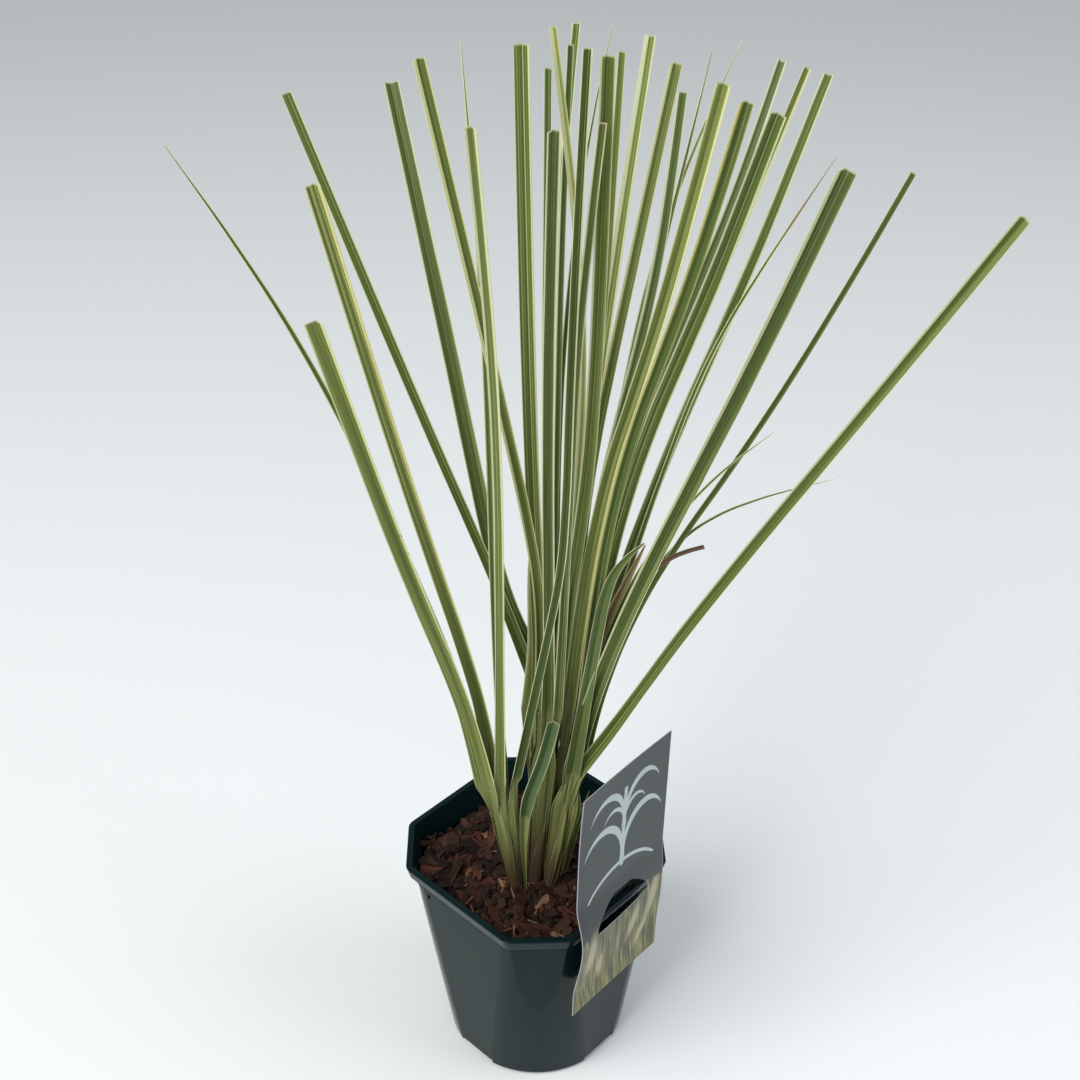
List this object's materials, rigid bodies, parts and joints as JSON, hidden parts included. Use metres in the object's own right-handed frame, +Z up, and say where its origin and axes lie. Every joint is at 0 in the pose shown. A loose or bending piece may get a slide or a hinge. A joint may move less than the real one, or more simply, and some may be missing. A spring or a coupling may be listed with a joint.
{
  "type": "potted pampas grass",
  "caption": "Clump of trimmed, variegated pampas grass in a black nursery pot, with bark chips on the compost and a plain printed plant label on the rim.",
  "frame": {"origin": "centre of the pot's base, on the floor", "axes": "+Z up along the pot's axis; -Y is the front, towards one short side of the pot; the label hangs on the front right long side"},
  "size_m": [0.449, 0.3035, 0.7804],
  "materials": {
    "pot_plastic": "gloss",
    "bark": "matte",
    "label_card": "satin",
    "sheath": "satin",
    "leaf": "satin"
  },
  "bodies": {
    "root": {"pot": "pot_plastic", "bark_mulch": "bark", "plant_label": "label_card", "shoot_back": "sheath", "shoot_front": "sheath", "shoot_left": "sheath", "shoot_outer": "sheath", "shoot_right": "sheath", "back_leaf_1": "leaf", "back_leaf_2": "leaf", "back_leaf_3": "leaf", "back_leaf_4": "leaf", "back_leaf_5": "leaf", "back_leaf_6": "leaf", "back_leaf_7": "leaf", "back_leaf_8": "leaf", "front_leaf_1": "leaf", "front_leaf_2": "leaf", "front_leaf_3": "leaf", "front_leaf_4": "leaf", "front_leaf_5": "leaf", "front_leaf_6": "leaf", "front_leaf_7": "leaf", "left_leaf_1": "leaf", "left_leaf_2": "leaf", "left_leaf_3": "leaf", "left_leaf_4": "leaf", "left_leaf_5": "leaf", "left_leaf_6": "leaf", "outer_leaf_1": "leaf", "outer_leaf_2": "leaf", "outer_leaf_3": "leaf", "outer_leaf_4": "leaf", "right_leaf_1": "leaf", "right_leaf_10": "leaf", "right_leaf_11": "leaf", "right_leaf_12": "leaf", "right_leaf_13": "leaf", "right_leaf_14": "leaf", "right_leaf_15": "leaf", "right_leaf_2": "leaf", "right_leaf_3": "leaf", "right_leaf_4": "leaf", "right_leaf_5": "leaf", "right_leaf_6": "leaf", "right_leaf_7": "leaf", "right_leaf_8": "leaf", "right_leaf_9": "leaf", "trimmed_front_leaf": "leaf", "young_side_leaf": "leaf"}
  },
  "joints": []
}
